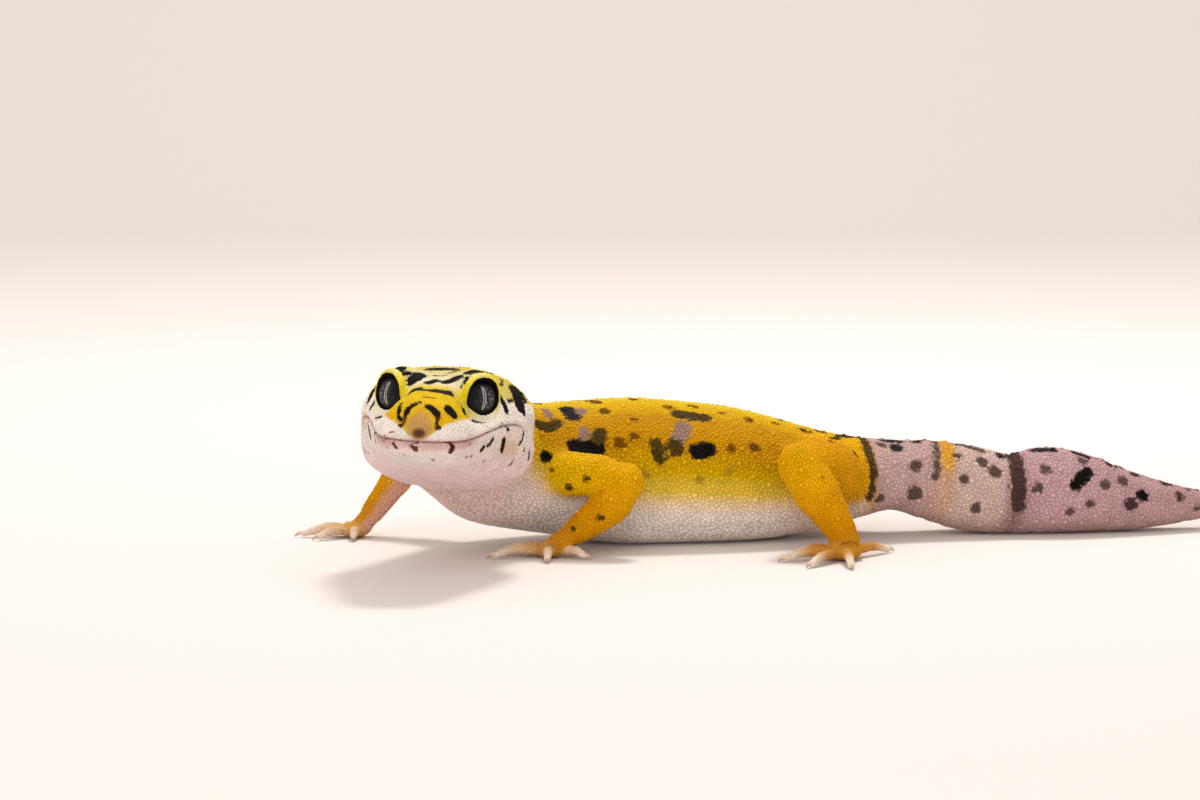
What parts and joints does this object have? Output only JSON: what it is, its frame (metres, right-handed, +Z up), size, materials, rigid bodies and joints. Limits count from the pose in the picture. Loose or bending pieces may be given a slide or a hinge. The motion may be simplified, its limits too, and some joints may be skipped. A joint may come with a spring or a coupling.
{
  "type": "leopard gecko",
  "caption": "Still life-size leopard gecko: a low-bodied lizard with a broad head turned to its left, splayed legs and a fat tapering tail, resting on its belly.",
  "frame": {"origin": "middle of the bounding box at floor level", "axes": "+X along the trunk towards the tail, +Z up; the head end is at -X and the head is turned to face -Y"},
  "size_m": [0.1266, 0.075, 0.0244],
  "materials": {
    "skin": "soft dry skin of small granular scales, yellow with dark spots",
    "tail_skin": "soft dry skin of small granular scales, pinkish lavender with dark spots",
    "eye": "wet gloss over a silver-grey iris with a narrow upright pupil"
  },
  "bodies": {
    "root": {"head": "skin", "lower_jaw": "skin", "eye_left": "eye", "eye_right": "eye", "neck": "skin", "chest": "skin", "belly": "skin", "hips": "skin", "tail_root": "tail_skin", "tail_middle": "tail_skin", "tail_tip": "tail_skin", "fore_left_upper": "skin", "fore_left_lower": "skin", "fore_left_foot": "skin", "fore_right_upper": "skin", "fore_right_lower": "skin", "fore_right_foot": "skin", "hind_left_upper": "skin", "hind_left_lower": "skin", "hind_left_foot": "skin", "hind_right_upper": "skin", "hind_right_lower": "skin", "hind_right_foot": "skin"}
  },
  "joints": []
}
